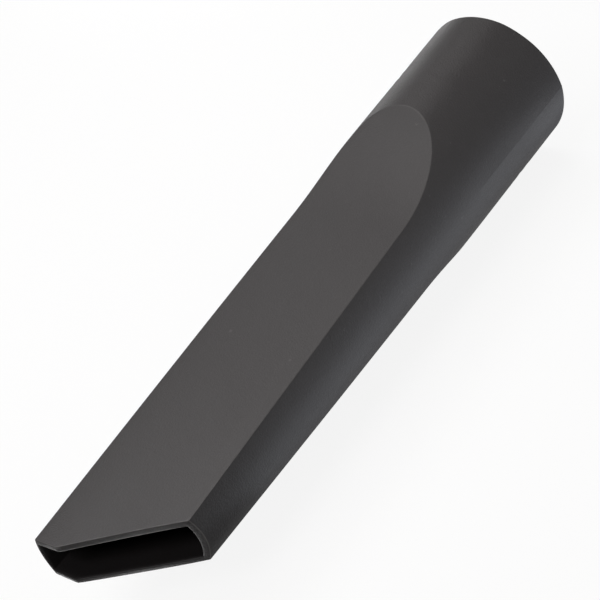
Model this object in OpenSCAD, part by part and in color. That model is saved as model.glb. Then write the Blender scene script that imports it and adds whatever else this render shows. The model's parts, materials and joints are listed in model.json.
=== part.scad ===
// Crevice nozzle for a vacuum cleaner: one hollow moulding, open at both ends.
// +X runs along the tube's axis from the end of the socket to the mouth, +Z is
// square to the two broad flats, and the origin is the centre of the socket's end.

/* [Socket] */
// Outside diameter at the socket's end
socket_d = 36; // [35.2:0.1:38]
// Diameter of the bore that takes the vacuum's tube
bore_d = 32; // [31.4:0.1:32.4]
// Depth of the bore, from the socket's end to the shoulder that stops the tube
bore_depth = 30; // [20:0.5:32]

/* [Body] */
// Length from the socket's end to the furthest point of the nose
length = 155.7; // [140:0.1:200]
// Width over the two round sides at the nose
mouth_w = 31.8; // [30:0.1:34]
// Thickness over the two flats at the nose
mouth_h = 10.85; // [9:0.05:14]
// Slope of each flat towards the axis, in degrees
flat_slope = 2; // [1:0.1:2.4]
// Distance from the socket's end to where the hollow ramp runs out into the flat
ramp_end = 61.5; // [60:0.5:70]
// Radius of the hollow ramp between the socket and the flat
ramp_r = 58; // [50:1:70]

/* [Mouth] */
// Angle of the long cut, in degrees from a square end
cut_angle = 30.3; // [15:0.1:40]
// Distance from the axis to the corner between the long cut and the nose
nose_y = 8.75; // [5:0.05:12]
// Angle of the nose's short cut, in degrees from a square end
nose_angle = 2.5; // [0:0.1:10]

/* [Walls] */
// Thickness of the wall behind the upper flat
upper_wall = 1.5; // [1:0.05:2.5]
// Thickness of the wall behind the lower flat
lower_wall = 1.1; // [1:0.05:2.5]
// Thickness of the round side walls at the nose
side_wall = 1.4; // [1:0.05:2]
// Width of the shoulder at the bottom of the bore
shoulder = 0.6; // [0.3:0.05:1]

/* [Hidden] */
$fn = 180;
plastic = [0.20, 0.19, 0.19];
reach = 2 * socket_d; // further than the body reaches from its axis
past = 1; // how far a cut runs past the face that it opens
duct_d = bore_d - 2 * shoulder; // the duct just past the shoulder
duct_mouth_d = mouth_w - 2 * side_wall; // the same duct at the nose
// Half the thickness over the flats where the ramps run out
ramp_end_z = mouth_h / 2 + (length - ramp_end) * tan(flat_slope);
// Where the long cut and the nose's cut meet the widest plan outline, at y = -reach and y = reach
nose_side_x = length - (reach - nose_y) * tan(nose_angle);
cut_side_x = length - (reach + nose_y) * tan(cut_angle);

// Round section that tapers along +X from the diameter d1 to d2
module taper(d1, d2, x1, x2) {
    translate([x1, 0, 0])
        rotate([0, 90, 0])
            cylinder(h = x2 - x1, d1 = d1, d2 = d2);
}

// Side view of all that lies above the upper flat and its ramp, moved down by the wall
module above_flat(wall) {
    translate([ramp_end, ramp_end_z])
        rotate(-flat_slope) {
            translate([0, ramp_r])
                circle(r = ramp_r + wall);
            translate([0, -wall])
                square([length + reach, reach + wall]);
        }
}

// What both flats take off the round body; behind the walls, it is what they take off the duct
module off_flats(upper = 0, lower = 0) {
    rotate([90, 0, 0])
        linear_extrude(reach, center = true)
            above_flat(upper);
    rotate([90, 0, 0])
        linear_extrude(reach, center = true)
            mirror([0, 1])
                above_flat(lower);
}

// Everything behind the mouth's two cuts, as seen from above
module behind_mouth() {
    linear_extrude(2 * reach, center = true)
        polygon([
            [-past, -reach],
            [nose_side_x, -reach],
            [length, -nose_y],
            [cut_side_x, reach],
            [-past, reach]
        ]);
}

// Tapered tube with a ramp and a flat above and below, cut off at the mouth
module outside() {
    intersection() {
        difference() {
            taper(socket_d, mouth_w, 0, length);
            off_flats();
        }
        behind_mouth();
    }
}

// The duct from the shoulder to the mouth, which follows the outside at one wall's thickness
module duct() {
    difference() {
        taper(duct_d, duct_mouth_d, bore_depth - past, length + past);
        off_flats(upper_wall, lower_wall);
    }
}

// The round socket that slides over the vacuum's tube
module bore() {
    taper(bore_d, bore_d, -past, bore_depth);
}

module nozzle() {
    color(plastic)
        difference() {
            outside();
            duct();
            bore();
        }
}

nozzle();
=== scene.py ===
import bpy
import json
import math
from mathutils import Matrix, Vector


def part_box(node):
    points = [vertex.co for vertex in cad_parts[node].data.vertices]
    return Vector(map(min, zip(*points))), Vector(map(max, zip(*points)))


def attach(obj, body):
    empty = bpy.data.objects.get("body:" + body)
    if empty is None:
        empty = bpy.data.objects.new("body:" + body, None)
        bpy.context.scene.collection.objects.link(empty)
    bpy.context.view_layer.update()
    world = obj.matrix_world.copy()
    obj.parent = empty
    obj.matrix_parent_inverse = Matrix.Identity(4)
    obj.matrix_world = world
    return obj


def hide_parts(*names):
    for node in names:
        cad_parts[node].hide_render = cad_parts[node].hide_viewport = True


# A moulded crevice nozzle. The scene is in metres, and the dictionaries are in millimetres.
# +X runs from the socket's end to the mouth, and +Z is square to the two flats.
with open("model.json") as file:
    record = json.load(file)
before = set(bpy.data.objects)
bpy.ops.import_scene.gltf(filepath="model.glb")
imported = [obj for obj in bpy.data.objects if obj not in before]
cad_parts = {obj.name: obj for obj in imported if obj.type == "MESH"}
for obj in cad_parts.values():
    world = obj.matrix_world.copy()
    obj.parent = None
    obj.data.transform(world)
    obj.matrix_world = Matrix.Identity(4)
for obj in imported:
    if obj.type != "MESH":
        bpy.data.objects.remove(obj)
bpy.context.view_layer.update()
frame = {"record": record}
mm = 0.001

lowCorner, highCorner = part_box("nozzle")
mounts = {m["name"]: m for m in frame["record"]["mounts"]}
socketBore = mounts["socket"]["dims"]
print("frame loaded:", [round(c / mm, 2) for c in highCorner - lowCorner], "mm")


nozzleShape = {
    "length": (highCorner.x - lowCorner.x) / mm,
    "socketRadius": (highCorner.z - lowCorner.z) / 2 / mm,
    "boreRadius": socketBore["r_mm"],
    "boreDepth": socketBore["length_mm"],
    "mouthRadius": 15.9,        # half the width over the round sides at the nose
    "mouthHalf": 5.425,         # half the thickness over the flats at the nose
    "flatSlope": 2.0,           # degrees
    "rampEnd": 61.5,            # where the hollow ramp runs out into the flat
    "rampRadius": 58.0,
    "cutAngle": 30.3,           # degrees from square
    "noseAngle": 2.5,
    "noseY": 8.75,              # from the axis to the corner between the two cuts
    "upperWall": 1.75,          # behind each flat, thick enough for the lip's rounding
    "lowerWall": 1.28,
    "sideWall": 1.4,            # at the mouth, on the side that the long cut shortens
    "noseSideWall": 0.5,        # at the mouth, on the other side
    "shoulder": 0.6,
    "ridgeRound": 0.16,         # width of the rounding on each side of an edge
    "mouthOuterRound": 0.25,
    "mouthInnerRound": 0.65,
    "noseCornerRound": 0.22,
    "socketOuterRound": 0.5,
    "socketInnerRound": 0.7,
    "ductCornerRound": 0.28,
    "flatCrown": 0.36,          # how far the flats fall away towards their long edges
    "seamTilt": 0.055,          # how far each mould half leans from the parting plane, as a slope
    "seamReach": 4.0,           # how far round the tube that lean carries
    "seamFade": 95.0,           # where along the tube it has died out
}
nozzleMesh = {
    "flatColumns": 30,          # half a flat
    "sideColumns": 30,          # half a round side
    "socketRows": 44,
    "bodyRows": 100,
    "lipRows": 14,
    "rimRows": 18,
    "ductRows": 64,
    "shoulderRows": 4,
    "boreRows": 20,
    "crowding": 4.0,            # how tightly the columns crowd towards an edge
    "lipShare": 0.014,          # the share of the body's length that the lip's rows have
    "endShare": 0.4,            # the share of the socket's rows that its end's rounding can reach
    "cornerColumn": 6,          # the flat's column that meets the corner of the mouth's two cuts
    "cutSteps": 4,              # rounds of correction that bring a column's end onto the slanted cut
    "weld": 0.002,              # mm
}
scalar, vector = "NodeSocketFloat", "NodeSocketVector"


class Field:
    # one value in a node tree, so that the rules of the shape read as sums
    def __init__(self, rule, node, output):
        self.rule = rule
        self.node = node
        self.output = output

    def socket(self):
        return self.node.outputs[self.output]

    def isVector(self):
        return self.socket().type == "VECTOR"

    def op(self, operation, *others):
        node = self.rule.tree.nodes.new("ShaderNodeMath")
        node.operation = operation
        for slot, value in zip(node.inputs, (self,) + others):
            self.rule.plug(slot, value)
        return Field(self.rule, node, 0)

    def vectorOp(self, operation, *others):
        node = self.rule.tree.nodes.new("ShaderNodeVectorMath")
        node.operation = operation
        for slot, value in zip(node.inputs, (self,) + others):
            self.rule.plug(slot, value)
        return Field(self.rule, node, 0)

    def combined(self, operation, other):
        if self.isVector() or (isinstance(other, Field) and other.isVector()):
            return self.vectorOp(operation, other)
        return self.op(operation, other)

    def __add__(self, other):
        return self.combined("ADD", other)

    __radd__ = __add__

    def __sub__(self, other):
        return self.combined("SUBTRACT", other)

    def __rsub__(self, other):
        return self.op("MULTIPLY_ADD", -1.0, other)

    def __mul__(self, other):
        if self.isVector():
            node = self.rule.tree.nodes.new("ShaderNodeVectorMath")
            node.operation = "SCALE"
            self.rule.plug(node.inputs[0], self)
            self.rule.plug(node.inputs["Scale"], other)
            return Field(self.rule, node, 0)
        return self.op("MULTIPLY", other)

    __rmul__ = __mul__

    def __truediv__(self, other):
        return self.op("DIVIDE", other)

    def __rtruediv__(self, other):
        return self.op("POWER", -1.0) * other

    def __neg__(self):
        return self * -1.0

    def dot(self, other):
        field = self.vectorOp("DOT_PRODUCT", other)
        return Field(self.rule, field.node, "Value")

    def size(self):
        field = self.vectorOp("LENGTH")
        return Field(self.rule, field.node, "Value")

    def parts(self):
        node = self.rule.tree.nodes.new("ShaderNodeSeparateXYZ")
        self.rule.plug(node.inputs[0], self)
        return tuple(Field(self.rule, node, k) for k in range(3))


class Rule:
    # a node group being written. It asks for the nozzle's sizes by name, and each one becomes
    # an input of the group, so whoever calls the group has to have it too
    def __init__(self, name, treeType="GeometryNodeTree", **inputs):
        self.tree = bpy.data.node_groups.new(name, treeType)
        self.entry = self.tree.nodes.new("NodeGroupInput")
        self.leave = self.tree.nodes.new("NodeGroupOutput")
        self.fields = {}
        for inputName, kind in inputs.items():
            self.ask(inputName, kind)

    def ask(self, name, kind=scalar):
        if name not in self.fields:
            self.tree.interface.new_socket(name, in_out="INPUT", socket_type=kind)
            self.fields[name] = Field(self, self.entry, name)
        return self.fields[name]

    def asks(self, *names):
        return tuple(self.ask(name) for name in names)

    def plug(self, slot, value):
        if isinstance(value, Field):
            self.tree.links.new(value.socket(), slot)
        else:
            slot.default_value = value

    def number(self, value):
        node = self.tree.nodes.new("ShaderNodeValue")
        node.outputs[0].default_value = value
        return Field(self, node, 0)

    def point(self, x, y, z):
        node = self.tree.nodes.new("ShaderNodeCombineXYZ")
        for slot, value in zip(node.inputs, (x, y, z)):
            self.plug(slot, value)
        return Field(self, node, 0)

    def call(self, other, **values):
        kind = "GeometryNodeGroup" if self.tree.type == "GEOMETRY" else "ShaderNodeGroup"
        node = self.tree.nodes.new(kind)
        node.node_tree = other.tree
        for slot in node.inputs:
            self.plug(slot, values[slot.name] if slot.name in values else self.ask(slot.name))
        results = [Field(self, node, k) for k in range(len(node.outputs))]
        return results[0] if len(results) == 1 else results

    def give(self, **results):
        for name, value in results.items():
            kind = vector if value.isVector() else scalar
            self.tree.interface.new_socket(name, in_out="OUTPUT", socket_type=kind)
        for name, value in results.items():
            self.plug(self.leave.inputs[name], value)
        return self


def root(a):
    return a.op("MAXIMUM", 0.0).op("SQRT")


def clamp01(a):
    return a.op("MAXIMUM", 0.0).op("MINIMUM", 1.0)


def smoothStep(a):
    t = clamp01(a)
    return t * t * (3.0 - 2.0 * t)


def mix(a, b, t):
    if isinstance(a, Field):
        return (b - a) * t + a
    return t * (b - a) + a


def crowd(t, strength):
    # 0 to 1, with small steps near 0
    return ((t * strength).op("EXPONENT") - 1.0) / (math.exp(strength) - 1.0)


def crowdBoth(t, strength):
    # 0 to 1, with small steps near both ends
    return (crowd(clamp01(t * 2.0), strength) + 1.0 - crowd(clamp01(2.0 - 2.0 * t), strength)) * 0.5


def slopeParts(r, name):
    angle = r.ask(name) * (math.pi / 180)
    return angle.op("SINE"), angle.op("COSINE"), angle.op("TANGENT")


def rampCentre(r):
    # the centre of the hollow ramp's circle, along the axis and above it
    sinFlat, cosFlat, tanFlat = slopeParts(r, "flatSlope")
    length, mouthHalf, rampEnd, rampRadius = r.asks("length", "mouthHalf", "rampEnd", "rampRadius")
    return rampEnd + rampRadius * sinFlat, mouthHalf + (length - rampEnd) * tanFlat + rampRadius * cosFlat


def outerRadius(r, x):
    socketRadius, mouthRadius, length = r.asks("socketRadius", "mouthRadius", "length")
    return socketRadius - (socketRadius - mouthRadius) / length * x


def ductShare(r, x):
    length, boreDepth = r.asks("length", "boreDepth")
    return (x - boreDepth) / (length - boreDepth)


def ductRadius(r, x):
    boreRadius, shoulder, mouthRadius, sideWall, thinWall = r.asks(
        "boreRadius", "shoulder", "mouthRadius", "sideWall", "noseSideWall")
    start = boreRadius - shoulder
    return mix(start, mouthRadius - (sideWall + thinWall) * 0.5, ductShare(r, x))


def ductCentre(r, x):
    # the duct leans towards the nose's side, where its wall is the thinner one
    sideWall, thinWall = r.asks("sideWall", "noseSideWall")
    return (thinWall - sideWall) * 0.5 * ductShare(r, x)


def flatHeightRule():
    # height over the axis of a flat and its ramp, less a wall
    r = Rule("flat height", x=scalar, wall=scalar)
    x, wall = r.asks("x", "wall")
    sinFlat, cosFlat, tanFlat = slopeParts(r, "flatSlope")
    line = r.ask("mouthHalf") + (r.ask("length") - x) * tanFlat - wall / cosFlat
    cx, cz = rampCentre(r)
    radius = r.ask("rampRadius") + wall
    arc = cz - root(radius * radius - (x - cx) * (x - cx))
    onRamp = x.op("LESS_THAN", r.ask("rampEnd") - wall * sinFlat)
    return r.give(height=mix(line, arc, onRamp))


def columnRule(mesh):
    # where a column stands around the tube: in which quarter, and on a flat or on a round side
    r = Rule("column", column=scalar)
    perQuarter = float(mesh["flatColumns"] + mesh["sideColumns"])
    column = r.ask("column")
    quarter = (column / perQuarter + 0.0001).op("FLOOR").op("FLOORED_MODULO", 4.0)
    local = column.op("FLOORED_MODULO", perQuarter)
    local = mix(local, perQuarter - local, quarter.op("FLOORED_MODULO", 2.0))
    lower = quarter.op("GREATER_THAN", 0.5) * quarter.op("LESS_THAN", 2.5)
    flatShare = clamp01(local / mesh["flatColumns"])
    sideShare = clamp01((local - mesh["flatColumns"]) / mesh["sideColumns"])
    return r.give(
        across=1.0 - crowd(1.0 - flatShare, mesh["crowding"]),
        evenRound=sideShare,
        crowdedRound=mix(crowd(sideShare, mesh["crowding"]), sideShare, 0.12),
        onSide=local.op("GREATER_THAN", mesh["flatColumns"] + 0.5),
        signY=1.0 - 2.0 * quarter.op("GREATER_THAN", 1.5),
        signZ=1.0 - 2.0 * lower,
        lower=lower,
    )


def sectionRule(mesh, columnOf):
    # the point of a column at x, on a tube of that radius, half height and centre
    r = Rule("section point", column=scalar, x=scalar, radius=scalar, height=scalar, centreY=scalar)
    x, radius, height, centreY = r.asks("x", "radius", "height", "centreY")
    across, evenRound, crowdedRound, onSide, signY, signZ, lower = r.call(columnOf)
    capped = height.op("MINIMUM", radius)
    half = root(radius * radius - capped * capped)
    # the flat's columns are drawn out so that one of them meets the corner of the mouth's two cuts
    strength, narrowestHalf = mesh["crowding"], 12.0
    cornerShare = mesh["cornerColumn"] / mesh["flatColumns"]
    cornerAcross = 1.0 - (math.exp(strength * (1.0 - cornerShare)) - 1.0) / (math.exp(strength) - 1.0)
    wanted = (r.ask("noseY") + centreY) / half.op("MAXIMUM", narrowestHalf)
    power = wanted.op("LOGARITHM", math.e) / math.log(cornerAcross)
    flatY = half * across.op("MAXIMUM", 0.0).op("POWER", power)
    edge = half.op("ARCTAN2", capped)
    crowdFrom, crowdOver = 0.3, 0.5     # shares of the way to the flat's tip
    crowded = smoothStep((x / r.ask("tipX") - crowdFrom) / crowdOver)
    angle = edge + (math.pi / 2 - edge) * mix(evenRound, crowdedRound, crowded)
    y = mix(flatY, radius * angle.op("SINE"), onSide) * signY + centreY
    z = mix(capped, radius * angle.op("COSINE"), onSide) * signZ
    return r.give(point=r.point(x, y, z))


def outerPointRule(section, flatHeight):
    r = Rule("outer point", column=scalar, x=scalar)
    x = r.ask("x")
    height = r.call(flatHeight, wall=0.0)
    return r.give(point=r.call(section, radius=outerRadius(r, x), height=height, centreY=0.0))


def ductPointRule(section, flatHeight, columnOf):
    r = Rule("duct point", column=scalar, x=scalar)
    x = r.ask("x")
    lower = r.call(columnOf)[-1]
    upperWall, lowerWall = r.asks("upperWall", "lowerWall")
    height = r.call(flatHeight, wall=mix(upperWall, lowerWall, lower))
    return r.give(point=r.call(section, radius=ductRadius(r, x), height=height, centreY=ductCentre(r, x)))


def towardsMouthRule(name, mesh, pointOf):
    # the point of a column that share of the way from start to the slanted mouth
    r = Rule(name, column=scalar, start=scalar, share=scalar)
    start, share, length, noseY = r.asks("start", "share", "length", "noseY")
    tanCut, tanNose = slopeParts(r, "cutAngle")[2], slopeParts(r, "noseAngle")[2]
    x = mix(start, length, share)
    for _ in range(mesh["cutSteps"]):
        across = r.call(pointOf, x=x).parts()[1] + noseY
        mouthX = length - (across * tanCut).op("MAXIMUM", -across * tanNose)
        x = mix(start, mouthX, share)
    return r.give(point=r.call(pointOf, x=x))


def roundEdgeRule():
    # two faces as distance and slope; the edge where they meet gets a round that wide
    r = Rule("round edge", distanceA=scalar, slopeA=vector, distanceB=scalar, slopeB=vector, width=scalar)
    a, b, width = r.asks("distanceA", "distanceB", "width")
    h = clamp01((a - b) / width * 0.5 + 0.5)
    slope = (r.ask("slopeA") - r.ask("slopeB")) * h + r.ask("slopeB")
    return r.give(distance=mix(b, a, h) + h * (1.0 - h) * width, slope=slope)


def tubeFaceRule():
    # the round wall of a tube about an axis that may be off the centre
    r = Rule("tube face", point=vector, radius=scalar, centreY=scalar, taper=scalar)
    x, y, z = r.ask("point").parts()
    y = y - r.ask("centreY")
    away = root(y * y + z * z).op("MAXIMUM", 0.001)
    return r.give(distance=away - r.ask("radius"), slope=r.point(r.ask("taper"), y / away, z / away))


def flatFaceRule():
    # the flat above or below, with its ramp, less a wall
    r = Rule("flat face", point=vector, wall=scalar)
    x, _, z = r.ask("point").parts()
    wall = r.ask("wall")
    side, height = z.op("SIGN"), z.op("ABSOLUTE")
    sinFlat, cosFlat, tanFlat = slopeParts(r, "flatSlope")
    line = (height - r.ask("mouthHalf") - (r.ask("length") - x) * tanFlat) * cosFlat + wall
    cx, cz = rampCentre(r)
    away = root((x - cx) * (x - cx) + (height - cz) * (height - cz)).op("MAXIMUM", 0.001)
    arc = r.ask("rampRadius") + wall - away
    onRamp = ((x - cx) * cosFlat - (height - cz) * sinFlat).op("LESS_THAN", 0.0)
    slopeX = mix(sinFlat, (cx - x) / away, onRamp)
    slopeZ = mix(cosFlat, (cz - height) / away, onRamp)
    return r.give(distance=mix(line, arc, onRamp), slope=r.point(slopeX, 0.0, side * slopeZ))


def mouthFaceRule(roundEdge):
    # the long slanted cut and the nose's short one
    r = Rule("mouth face", point=vector)
    x, y, _ = r.ask("point").parts()
    past, across = x - r.ask("length"), y + r.ask("noseY")
    sinCut, cosCut, tanCut = slopeParts(r, "cutAngle")
    sinNose, cosNose, tanNose = slopeParts(r, "noseAngle")
    distance, slope = r.call(
        roundEdge,
        distanceA=(past + across * tanCut) * cosCut, slopeA=r.point(cosCut, sinCut, 0.0),
        distanceB=(past - across * tanNose) * cosNose, slopeB=r.point(cosNose, -sinNose, 0.0),
        width=r.ask("noseCornerRound"))
    return r.give(distance=distance, slope=slope)


def bodyFaceRule(tubeFace, flatFace, roundEdge):
    r = Rule("body face", point=vector)
    x = r.ask("point").parts()[0]
    socketRadius, mouthRadius, length = r.asks("socketRadius", "mouthRadius", "length")
    taper = (socketRadius - mouthRadius) / length
    tube = r.call(tubeFace, radius=outerRadius(r, x), centreY=0.0, taper=taper)
    flat = r.call(flatFace, wall=0.0)
    distance, slope = r.call(roundEdge, distanceA=tube[0], slopeA=tube[1], distanceB=flat[0], slopeB=flat[1],
                             width=r.ask("ridgeRound"))
    return r.give(distance=distance, slope=slope)


def ductFaceRule(tubeFace, flatFace, roundEdge):
    # the duct's wall, seen from the plastic: positive inside the duct
    r = Rule("duct face", point=vector)
    x, _, z = r.ask("point").parts()
    upperWall, lowerWall = r.asks("upperWall", "lowerWall")
    tube = r.call(tubeFace, radius=ductRadius(r, x), centreY=ductCentre(r, x), taper=0.0)
    flat = r.call(flatFace, wall=mix(lowerWall, upperWall, z.op("GREATER_THAN", 0.0)))
    distance, slope = r.call(roundEdge, distanceA=tube[0], slopeA=tube[1], distanceB=flat[0], slopeB=flat[1],
                             width=r.ask("ductCornerRound"))
    return r.give(distance=-distance, slope=-slope)


def boreFaceRule(tubeFace):
    r = Rule("bore face", point=vector)
    distance, slope = r.call(tubeFace, radius=r.ask("boreRadius"), centreY=0.0, taper=0.0)
    return r.give(distance=-distance, slope=-slope)


def endFaceRule():
    r = Rule("socket end face", point=vector)
    return r.give(distance=-r.ask("point").parts()[0], slope=r.point(-1.0, 0.0, 0.0))


def edgeRule(name, firstFace, secondFace, roundEdge, width):
    # puts a point of the sharp shape onto the rounded edge between two faces
    r = Rule(name, point=vector)
    point = r.ask("point")
    first, second = r.call(firstFace), r.call(secondFace)
    distance, slope = r.call(roundEdge, distanceA=first[0], slopeA=first[1], distanceB=second[0],
                             slopeB=second[1], width=r.ask(width))
    return r.give(point=point - slope * (distance / slope.dot(slope).op("MAXIMUM", 0.01)))


def seamRule():
    # each mould half leans in from the parting plane, so a round side has a faint ridge along it
    r = Rule("mould seam", point=vector)
    x, y, z = r.ask("point").parts()
    reach, tilt, fadeOut = r.asks("seamReach", "seamTilt", "seamFade")
    away = root(y * y + z * z).op("MAXIMUM", 0.001)
    lean = 1.0 - (-z.op("ABSOLUTE") / reach).op("EXPONENT")
    sideFrom, sideOver = 0.35, 0.3      # sines of the angle round from the flats' side
    onSide = smoothStep((y.op("ABSOLUTE") / away - sideFrom) / sideOver)
    pull = lean * clamp01(1.0 - x / fadeOut) * tilt * reach * onSide
    shrink = 1.0 - pull / away
    return r.give(point=r.point(x, y * shrink, z * shrink))


def crownRule():
    # the flats aren't dead flat: they fall away a little towards their long edges
    r = Rule("crown", point=vector)
    x, y, z = r.ask("point").parts()
    crown, mouthRadius, tipX, rampEnd = r.asks("flatCrown", "mouthRadius", "tipX", "rampEnd")
    across = y.op("ABSOLUTE") / mouthRadius
    onFlat = smoothStep((x - tipX) / (rampEnd - tipX))
    fall = crown * across * across * across * onFlat
    lowest = 0.5
    share = smoothStep(z.op("ABSOLUTE").op("MAXIMUM", lowest) / r.ask("mouthHalf"))
    return r.give(point=r.point(x, y, z - z.op("SIGN") * fall * share))


def tipDistance(size):
    # where the ramp's circle first meets the body's cone, found by halving
    slope = math.radians(size["flatSlope"])
    rampEndZ = size["mouthHalf"] + (size["length"] - size["rampEnd"]) * math.tan(slope)
    cx = size["rampEnd"] + size["rampRadius"] * math.sin(slope)
    cz = rampEndZ + size["rampRadius"] * math.cos(slope)
    taper = (size["socketRadius"] - size["mouthRadius"]) / size["length"]
    low, high = cx - size["rampRadius"], size["rampEnd"]
    for _ in range(60):
        x = (low + high) / 2
        height = cz - math.sqrt(size["rampRadius"] ** 2 - (x - cx) ** 2)
        low, high = (x, high) if height > size["socketRadius"] - taper * x else (low, x)
    return low


def strips(mesh):
    # the six strips that close up into the wall: (rows, rule, is it inside)
    roundEdge, tubeFace = roundEdgeRule(), tubeFaceRule()
    flatFace, flatHeight = flatFaceRule(), flatHeightRule()
    columnOf = columnRule(mesh)
    section = sectionRule(mesh, columnOf)
    outerPoint = outerPointRule(section, flatHeight)
    ductPoint = ductPointRule(section, flatHeight, columnOf)
    outerToMouth = towardsMouthRule("outer point towards the mouth", mesh, outerPoint)
    ductToMouth = towardsMouthRule("duct point towards the mouth", mesh, ductPoint)
    mouthFace, endFace, boreFace = mouthFaceRule(roundEdge), endFaceRule(), boreFaceRule(tubeFace)
    bodyFace = bodyFaceRule(tubeFace, flatFace, roundEdge)
    ductFace = ductFaceRule(tubeFace, flatFace, roundEdge)
    mouthOuterEdge = edgeRule("mouth's outer edge", bodyFace, mouthFace, roundEdge, "mouthOuterRound")
    mouthInnerEdge = edgeRule("mouth's inner edge", ductFace, mouthFace, roundEdge, "mouthInnerRound")
    socketOuterEdge = edgeRule("socket's outer edge", bodyFace, endFace, roundEdge, "socketOuterRound")
    socketInnerEdge = edgeRule("socket's inner edge", boreFace, endFace, roundEdge, "socketInnerRound")
    seam, crown = seamRule(), crownRule()
    crowding = mesh["crowding"]
    beforeLip = mesh["socketRows"] + mesh["bodyRows"]
    crestDepth = 0.04            # mm pulled in by the rounding where an edge gets the full painted highlight

    def crestMask(sharp, rounded):
        # 1 where the rounding pulls the point in, along the crest of an edge: the mask of the painted edge
        # highlight
        return clamp01((sharp - rounded).size() * (1 / crestDepth))

    def outside():
        r = Rule("outside", row=scalar, column=scalar)
        row, tipX = r.asks("row", "tipX")
        socketShare = clamp01(row / mesh["socketRows"])
        bodyShare = clamp01((row - mesh["socketRows"]) / mesh["bodyRows"])
        lipShare = clamp01((row - beforeLip) / mesh["lipRows"])
        share = bodyShare * bodyShare * (1.0 - mesh["lipShare"])
        share = share + (1.0 - crowd(1.0 - lipShare, crowding)) * mesh["lipShare"]
        start = tipX * crowdBoth(socketShare, crowding + 1.0)
        sharp = r.call(outerToMouth, start=start, share=share)
        atMouth = r.call(mouthOuterEdge, point=sharp)
        atEnd = r.call(socketOuterEdge, point=sharp)
        nearEnd = row.op("LESS_THAN", mesh["socketRows"] * mesh["endShare"])
        rounded = (atEnd - atMouth) * nearEnd + atMouth
        seamed = r.call(seam, point=rounded)
        return r.give(point=r.call(crown, point=seamed), edgeWear=crestMask(sharp, rounded))

    def mouthRim():
        r = Rule("mouth rim", row=scalar, column=scalar)
        first = r.call(outerToMouth, start=r.ask("tipX"), share=1.0)
        last = r.call(ductToMouth, start=r.ask("boreDepth"), share=1.0)
        share = crowdBoth(r.ask("row") / mesh["rimRows"], 2.0)
        sharp = (last - first) * share + first
        outer, inner = r.call(mouthOuterEdge, point=sharp), r.call(mouthInnerEdge, point=sharp)
        handOver, over = 0.15, 0.4      # the shares of the rim where one edge's rounding takes over
        nearDuct = smoothStep((share - handOver) / over)
        point = r.call(crown, point=mix(outer, inner, nearDuct))
        return r.give(point=point, edgeWear=crestMask(sharp, outer) * (1.0 - nearDuct))

    def ductWall():
        r = Rule("duct wall", row=scalar, column=scalar)
        share = 1.0 - crowd(r.ask("row") / mesh["ductRows"], crowding)
        sharp = r.call(ductToMouth, start=r.ask("boreDepth"), share=share)
        rounded = r.call(mouthInnerEdge, point=sharp)
        return r.give(point=r.call(crown, point=rounded), edgeWear=r.number(0.0))

    def shoulder():
        r = Rule("shoulder", row=scalar, column=scalar)
        boreDepth, boreRadius = r.asks("boreDepth", "boreRadius")
        first = r.call(mouthInnerEdge, point=r.call(ductPoint, x=boreDepth))
        last = r.call(section, x=boreDepth, radius=boreRadius, height=boreRadius, centreY=0.0)
        point = (last - first) * (r.ask("row") / mesh["shoulderRows"]) + first
        return r.give(point=point, edgeWear=r.number(0.0))

    def bore():
        r = Rule("bore", row=scalar, column=scalar)
        boreRadius = r.ask("boreRadius")
        x = r.ask("boreDepth") * crowd(1.0 - r.ask("row") / mesh["boreRows"], crowding)
        sharp = r.call(section, x=x, radius=boreRadius, height=boreRadius, centreY=0.0)
        return r.give(point=r.call(socketInnerEdge, point=sharp), edgeWear=r.number(0.0))

    def socketRim():
        r = Rule("socket rim", row=scalar, column=scalar)
        boreRadius = r.ask("boreRadius")
        first = r.call(section, x=0.0, radius=boreRadius, height=boreRadius, centreY=0.0)
        last = r.call(outerPoint, x=0.0)
        share = crowdBoth(r.ask("row") / mesh["rimRows"], 2.0)
        sharp = (last - first) * share + first
        outer, inner = r.call(socketOuterEdge, point=sharp), r.call(socketInnerEdge, point=sharp)
        handOver, over = 0.45, 0.2
        nearOutside = smoothStep((share - handOver) / over)
        rounded = mix(inner, outer, nearOutside)
        seamed = mix(rounded, r.call(seam, point=rounded), smoothStep(share))
        return r.give(point=seamed, edgeWear=crestMask(sharp, outer) * nearOutside)

    return (
        (beforeLip + mesh["lipRows"], outside(), False),
        (mesh["rimRows"], mouthRim(), False),
        (mesh["ductRows"], ductWall(), True),
        (mesh["shoulderRows"], shoulder(), True),
        (mesh["boreRows"], bore(), True),
        (mesh["rimRows"], socketRim(), False),
    )


def storeAttribute(r, geometry, name, domain, kind, value):
    node = r.tree.nodes.new("GeometryNodeStoreNamedAttribute")
    node.data_type, node.domain = kind, domain
    node.inputs["Name"].default_value = name
    r.tree.links.new(geometry, node.inputs["Geometry"])
    r.plug(node.inputs["Value"], value)
    return node.outputs[0]


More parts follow.
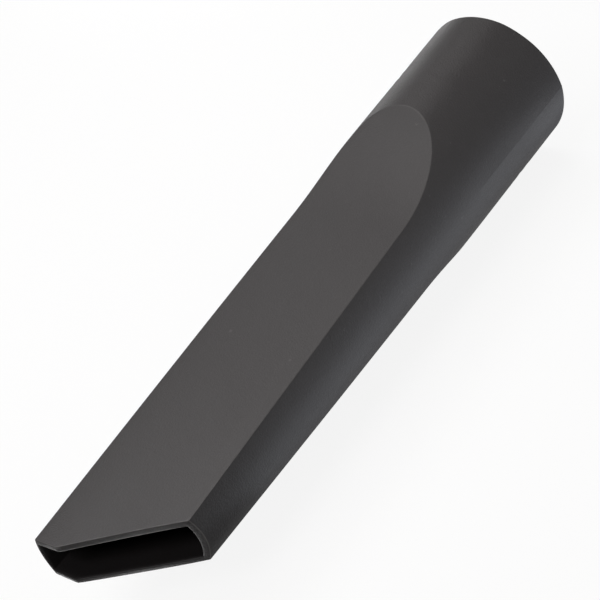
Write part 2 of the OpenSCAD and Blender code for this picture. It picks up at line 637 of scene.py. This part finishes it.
def buildNozzleTree(mesh, outsideMaterial, shadedDuctMaterial):
    r = Rule("crevice nozzle")
    r.tree.interface.new_socket("Geometry", in_out="OUTPUT", socket_type="NodeSocketGeometry")
    columns = 4 * (mesh["flatColumns"] + mesh["sideColumns"])
    nodes, links = r.tree.nodes, r.tree.links
    position = Field(r, nodes.new("GeometryNodeInputPosition"), 0)
    join = nodes.new("GeometryNodeJoinGeometry")
    for rows, place, inside in strips(mesh):
        # a strip starts as a flat grid, one unit to a row or a column, and its rule moves the points
        grid = nodes.new("GeometryNodeMeshGrid")
        gridSizes = {"Size X": rows, "Size Y": columns, "Vertices X": rows + 1, "Vertices Y": columns + 1}
        for name, value in gridSizes.items():
            grid.inputs[name].default_value = value
        gridX, gridY, _ = position.parts()
        row = (gridX + rows / 2).op("ROUND")
        column = (gridY + columns / 2).op("ROUND")
        point, edgeWear = r.call(place, row=row, column=column)
        # the edges' crests as a mask, for the painted edge highlight
        withHighlightMask = storeAttribute(r, grid.outputs["Mesh"], "edgeWear", "POINT", "FLOAT", edgeWear)
        marked = storeAttribute(r, withHighlightMask, "ductWall", "FACE", "BOOLEAN", inside)
        move = nodes.new("GeometryNodeSetPosition")
        links.new(marked, move.inputs["Geometry"])
        r.plug(move.inputs["Position"], point)
        links.new(move.outputs[0], join.inputs[0])
    weld = nodes.new("GeometryNodeMergeByDistance")
    weld.inputs["Distance"].default_value = mesh["weld"]
    shrink = nodes.new("GeometryNodeTransform")
    shrink.inputs["Scale"].default_value = (mm, mm, mm)
    smooth = nodes.new("GeometryNodeSetShadeSmooth")
    realize = nodes.new("GeometryNodeRealizeInstances")
    paintAll = nodes.new("GeometryNodeSetMaterial")
    paintAll.inputs["Material"].default_value = outsideMaterial
    paintDuct = nodes.new("GeometryNodeSetMaterial")
    paintDuct.inputs["Material"].default_value = shadedDuctMaterial
    isDuct = nodes.new("GeometryNodeInputNamedAttribute")
    isDuct.data_type = "BOOLEAN"
    isDuct.inputs["Name"].default_value = "ductWall"
    links.new(isDuct.outputs["Attribute"], paintDuct.inputs["Selection"])
    chain = (join, weld, shrink, smooth, realize, paintAll, paintDuct)
    for before, after in zip(chain, chain[1:]):
        links.new(before.outputs[0], after.inputs["Geometry"])
    links.new(paintDuct.outputs[0], r.leave.inputs["Geometry"])
    return r.tree


plasticFinish = {
    "colour": (0.0310, 0.0278, 0.0284),
    "lighterColour": (0.0385, 0.0345, 0.0352),
    # a paler colour for the edges' crests: a painted highlight
    "rubbedColour": (0.150, 0.144, 0.141),
    "dustColour": (0.16, 0.155, 0.15),
    "roughness": 0.49,
    "rubbedRoughness": 0.36,
    "grainSize": 0.32,          # mm
    "grainDepth": 0.09,         # mm
    "driftSize": 14.0,          # mm, the size of the faint cloudy patches
    "rubbed": 0.2,              # how much paler an edge's crest is, up to 1: a painted highlight
    "tipRubbed": 1.0,           # the same near the mouth
    "dust": 0.35,
}
ductShadedFinish = {
    # the duct's plastic is drawn darker than the outside's: painted shade inside the duct
    "colour": (0.0115, 0.0092, 0.0095),
    "lighterColour": (0.0150, 0.0122, 0.0125),
    "rubbedColour": (0.012, 0.011, 0.011),
    "dustColour": (0.02, 0.02, 0.02),
    "roughness": 0.7,
    "rubbedRoughness": 0.6,
    "grainSize": 0.5,
    "grainDepth": 0.03,
    "driftSize": 9.0,
    "rubbed": 0.2,
    "tipRubbed": 0.2,
    "dust": 0.1,
}
tipRubbedFrom, tipRubbedOver = 110.0, 30.0     # mm along the nozzle, where the mouth's stronger painted edge highlight begins
shaderTree = "ShaderNodeTree"


def textureOf(r, kind, point, scale, **settings):
    node = r.tree.nodes.new(kind)
    for name, value in settings.items():
        if name in node.inputs:
            node.inputs[name].default_value = value
        else:
            setattr(node, name, value)
    r.plug(node.inputs["Vector"], point)
    r.plug(node.inputs["Scale"], scale)
    return node


def objectPoint(r):
    # the place on the nozzle in millimetres
    return Field(r, r.tree.nodes.new("ShaderNodeTexCoord"), "Object") * (1 / mm)


def grainGroup():
    # the satin of a spark-eroded mould: fine pits, with a coarser unevenness under them
    r = Rule("moulded grain", shaderTree, grainSize=scalar)
    point, grainSize = objectPoint(r), r.ask("grainSize")
    fine = textureOf(r, "ShaderNodeTexNoise", point, 1.0 / grainSize, Detail=3.0, Roughness=0.62)
    pits = textureOf(r, "ShaderNodeTexVoronoi", point, 0.7 / grainSize, Randomness=1.0)
    coarse = textureOf(r, "ShaderNodeTexNoise", point, 0.16 / grainSize, Detail=2.0)
    height = Field(r, fine, 0) * 0.6 + Field(r, pits, 0) * 0.3 + Field(r, coarse, 0) * 0.5
    return r.give(height=height, speckle=smoothStep(Field(r, fine, 0) * 3.0 - 1.0))


def driftGroup():
    # faint clouds of tone, drawn out along the nozzle as the plastic flowed
    r = Rule("flow clouds", shaderTree, driftSize=scalar)
    x, y, z = objectPoint(r).parts()
    flow = r.point(x * 0.45, y, z)
    cloud = textureOf(r, "ShaderNodeTexNoise", flow, 1.0 / r.ask("driftSize"), Detail=4.0, Roughness=0.55)
    return r.give(cloud=smoothStep(Field(r, cloud, 0) * 2.2 - 0.6))


def rubbedGroup():
    # edges a little smoother, and paler as a painted highlight, in broken stretches
    r = Rule("rubbed edges", shaderTree, rubbed=scalar, tipRubbed=scalar)
    crestMask = r.tree.nodes.new("ShaderNodeAttribute")
    crestMask.attribute_name = "edgeWear"
    broken = textureOf(r, "ShaderNodeTexNoise", objectPoint(r), 0.35, Detail=3.0, Roughness=0.6)
    along = objectPoint(r).parts()[0]
    nearMouth = smoothStep((along - tipRubbedFrom) / tipRubbedOver)
    reach = mix(r.ask("rubbed"), r.ask("tipRubbed"), nearMouth)
    return r.give(mask=clamp01(Field(r, crestMask, "Fac") * reach * (Field(r, broken, 0) * 1.4 + 0.1)))


def dustGroup():
    # a few pale specks
    r = Rule("dust specks", shaderTree, dust=scalar)
    point = objectPoint(r)
    cells = textureOf(r, "ShaderNodeTexVoronoi", point, 0.28, Randomness=1.0)
    spread = textureOf(r, "ShaderNodeTexNoise", point, 0.9, Detail=2.0)
    near = 1.0 - smoothStep(Field(r, cells, "Distance") * 7.0 - 0.25)
    some = smoothStep(Field(r, spread, 0) * 6.0 - 3.4)
    return r.give(mask=clamp01(near * some * r.ask("dust")))


def mixColour(r, first, second, share):
    node = r.tree.nodes.new("ShaderNodeMix")
    node.data_type = "RGBA"
    factorSlot, firstSlot, secondSlot, resultSlot = 0, 6, 7, 2      # the node's sockets for colours
    for slot, value in ((factorSlot, share), (firstSlot, first), (secondSlot, second)):
        r.plug(node.inputs[slot], (*value, 1.0) if isinstance(value, tuple) else value)
    return Field(r, node, resultSlot)


class MaterialTree(Rule):
    # a material's own tree, written in the same way
    def __init__(self, material):
        self.tree = material.node_tree


def plasticMaterial(name, finish, groups, specular):
    grain, drift, rubbedEdges, dustSpecks = groups
    material = bpy.data.materials.new(name)
    material.use_nodes = True
    shader = material.node_tree.nodes["Principled BSDF"]
    shader.inputs["Specular IOR Level"].default_value = specular
    r = MaterialTree(material)
    height, speckle = r.call(grain, grainSize=finish["grainSize"])
    cloud = r.call(drift, driftSize=finish["driftSize"])
    rubbed = r.call(rubbedEdges, rubbed=finish["rubbed"], tipRubbed=finish["tipRubbed"])
    dust = r.call(dustSpecks, dust=finish["dust"])
    colour = mixColour(r, finish["colour"], finish["lighterColour"], cloud * 0.5 + speckle * 0.5)
    # paler along the edges' crests: a painted highlight
    colour = mixColour(r, colour, finish["rubbedColour"], rubbed)
    colour = mixColour(r, colour, finish["dustColour"], dust)
    roughness = finish["roughness"] + cloud * 0.05 - speckle * 0.04
    roughness = mix(roughness, finish["rubbedRoughness"], rubbed) + dust * 0.25
    bump = material.node_tree.nodes.new("ShaderNodeBump")
    bump.inputs["Strength"].default_value = 1.0
    bump.inputs["Distance"].default_value = finish["grainDepth"] * mm
    r.plug(bump.inputs["Height"], height)
    r.plug(shader.inputs["Base Color"], colour)
    r.plug(shader.inputs["Roughness"], roughness)
    material.node_tree.links.new(bump.outputs[0], shader.inputs["Normal"])
    return material


def markSeam(mesh):
    # the parting line stays a crisp edge along both round sides
    offPlane, offAxis = 0.001 * mm, nozzleShape["mouthHalf"] * mm
    onSeam = [abs(v.co.z) < offPlane and abs(v.co.y) > offAxis for v in mesh.vertices]
    for edge in mesh.edges:
        first, second = edge.vertices
        edge.use_edge_sharp = onSeam[first] and onSeam[second]


def buildNozzle():
    size = dict(nozzleShape)
    size["tipX"] = tipDistance(nozzleShape)
    groups = (grainGroup(), driftGroup(), rubbedGroup(), dustGroup())
    outsideMaterial = plasticMaterial("moulded black plastic", plasticFinish, groups, 0.5)
    # the duct gets the same plastic made darker, as painted shade
    shadedDuctMaterial = plasticMaterial("duct plastic with painted shade", ductShadedFinish, groups, 0.3)
    tree = buildNozzleTree(nozzleMesh, outsideMaterial, shadedDuctMaterial)
    holder = bpy.data.objects.new("nozzleRules", bpy.data.meshes.new("nozzleRules"))
    bpy.context.scene.collection.objects.link(holder)
    modifier = holder.modifiers.new("crevice nozzle", "NODES")
    modifier.node_group = tree
    for item in tree.interface.items_tree:
        if item.in_out == "INPUT":
            modifier[item.identifier] = float(size[item.name])
    graph = bpy.context.evaluated_depsgraph_get()
    mesh = bpy.data.meshes.new_from_object(holder.evaluated_get(graph), depsgraph=graph)
    bpy.data.objects.remove(holder)
    mesh.name = "creviceNozzle"
    while mesh.materials[0] is None:
        mesh.materials.pop(index=0)     # the grids start with an empty slot
    markSeam(mesh)
    nozzle = bpy.data.objects.new("creviceNozzle", mesh)
    bpy.context.scene.collection.objects.link(nozzle)
    print("nozzle:", len(mesh.vertices), "points,", len(mesh.polygons), "faces")
    print("the flats' tips are at", round(size["tipX"], 3), "mm")
    return nozzle


nozzle = buildNozzle()
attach(nozzle, "root")
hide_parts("nozzle")


cameraSetup = {
    "azimuth": 49.792,          # degrees round from +X towards +Y
    "elevation": 36.293,
    "roll": -24.499,
    "aim": (78.32, -4.77, 0.0),     # mm
    "distance": 382.52,         # mm
    "lens": 108.077,
}


def direction(azimuth, elevation):
    a, e = math.radians(azimuth), math.radians(elevation)
    return Vector((math.cos(e) * math.cos(a), math.cos(e) * math.sin(a), math.sin(e)))


def addCamera(setup):
    back = direction(setup["azimuth"], setup["elevation"])
    level = Vector((0, 0, 1)).cross(back).normalized()
    roll = math.radians(setup["roll"])
    right = level * math.cos(roll) + back.cross(level) * math.sin(roll)
    up = back.cross(right)
    data = bpy.data.cameras.new("camera")
    data.lens = setup["lens"]
    data.sensor_width = 36.0
    data.clip_start = 0.01
    camera = bpy.data.objects.new("camera", data)
    place = (Vector(setup["aim"]) + back * setup["distance"]) * mm
    camera.matrix_world = Matrix.Translation(place) @ Matrix((right, up, back)).transposed().to_4x4()
    bpy.context.scene.collection.objects.link(camera)
    bpy.context.scene.camera = camera
    print("camera:", setup["azimuth"], "round,", setup["elevation"], "up")


addCamera(cameraSetup)

studio = {
    "floorGap": 0.5,            # mm under the nozzle
    "floorColour": (0.1, 0.1, 0.1),
    "floorSeen": 0.88,          # the floor's glow to the camera
    "floorBounce": 0.13,        # and to the nozzle
    "surround": 0.02,           # the room's light
}
# soft lights round the nozzle's middle: degrees round and up, then mm, then W
studioLights = {
    "overheadLight": {"azimuth": 240.0, "elevation": 72.0, "distance": 600, "size": 540, "power": 1.5},
    "backLight": {"azimuth": 225.0, "elevation": 50.0, "distance": 600, "size": 420, "power": 0.52},
    "frontLight": {"azimuth": 6.0, "elevation": 50.0, "distance": 600, "size": 200, "power": 0.9},
    "noseLight": {"azimuth": 287.0, "elevation": 56.0, "distance": 264, "size": 100, "power": 0.13},
    "sideLight": {"azimuth": 135.0, "elevation": 42.0, "distance": 600, "size": 480, "power": 0.55},
    "lowSideLight": {"azimuth": 120.0, "elevation": 4.0, "distance": 600, "size": 420, "power": 0.42},
    "lowBackLight": {"azimuth": 225.0, "elevation": 1.0, "distance": 300, "size": 100, "power": 0.082},
}
# panels that lie on the floor and light the nozzle from below: middle and size in mm, then W
studioPanels = {
    "sidePanel": {"middle": (50, 60), "size": (140, 80), "power": 0.031},
    "underPanel": {"middle": (80, 0), "size": (160, 36), "power": 0.005},
    "lipPanel": {"middle": (141.0, -16.0), "size": (40.0, 44.0), "power": 0.022},
    "mouthPanel": {"middle": (230, 60), "size": (120, 200), "power": 0.008},
    "socketPanel": {"middle": (-150, 150), "size": (300, 300), "power": 0.05},
}
# faint tints; the other lights are white
lightColours = {
    "sidePanel": (0.95, 0.99, 1.06),
    "socketPanel": (0.93, 0.98, 1.09),
    "overheadLight": (1.03, 0.99, 0.98),
    "mouthPanel": (1.06, 0.99, 0.95),
}


def floorMaterial():
    # pale to the camera and dim to the nozzle, as a floor a long way below would be
    material = bpy.data.materials.new("pale floor")
    material.use_nodes = True
    nodes, links = material.node_tree.nodes, material.node_tree.links
    shader = nodes["Principled BSDF"]
    shader.inputs["Base Color"].default_value = (*studio["floorColour"], 1.0)
    shader.inputs["Roughness"].default_value = 0.9
    seen = nodes.new("ShaderNodeLightPath")
    glow = nodes.new("ShaderNodeMath")
    glow.operation = "MULTIPLY_ADD"
    glow.inputs[1].default_value = studio["floorSeen"] - studio["floorBounce"]
    glow.inputs[2].default_value = studio["floorBounce"]
    links.new(seen.outputs["Is Camera Ray"], glow.inputs[0])
    shader.inputs["Emission Color"].default_value = (1.0, 1.0, 1.0, 1.0)
    links.new(glow.outputs[0], shader.inputs["Emission Strength"])
    return material


def addFloor():
    height = lowCorner.z - studio["floorGap"] * mm
    bpy.ops.mesh.primitive_plane_add(size=6, location=(0, 0, height))
    floor = bpy.context.object
    floor.name = "floor"
    floor.data.materials.append(floorMaterial())


def addLight(name, place, turn, power, width, depth):
    data = bpy.data.lights.new(name, "AREA")
    data.shape = "RECTANGLE"
    data.energy, data.size, data.size_y = power, width * mm, depth * mm
    data.color = lightColours.get(name, (1.0, 1.0, 1.0))
    light = bpy.data.objects.new(name, data)
    light.location = place
    light.rotation_euler = turn
    light.visible_camera = False
    bpy.context.scene.collection.objects.link(light)


def lightStudio():
    middle = (lowCorner + highCorner) / 2
    for name, light in studioLights.items():
        away = direction(light["azimuth"], light["elevation"])
        place = middle + away * light["distance"] * mm
        turn = away.to_track_quat("Z", "Y").to_euler()
        addLight(name, place, turn, light["power"], light["size"], light["size"])
    faceUp = (math.pi, 0.0, 0.0)
    for name, panel in studioPanels.items():
        x, y = panel["middle"]
        addLight(name, (x * mm, y * mm, lowCorner.z), faceUp, panel["power"], *panel["size"])
    world = bpy.data.worlds.new("studio")
    world.use_nodes = True
    world.node_tree.nodes["Background"].inputs[0].default_value = (1.0, 1.0, 1.0, 1.0)
    world.node_tree.nodes["Background"].inputs[1].default_value = studio["surround"]
    bpy.context.scene.world = world
    bpy.context.scene.view_settings.view_transform = "Standard"
    print("studio:", len(studioLights), "lights and", len(studioPanels), "panels")


addFloor()
lightStudio()
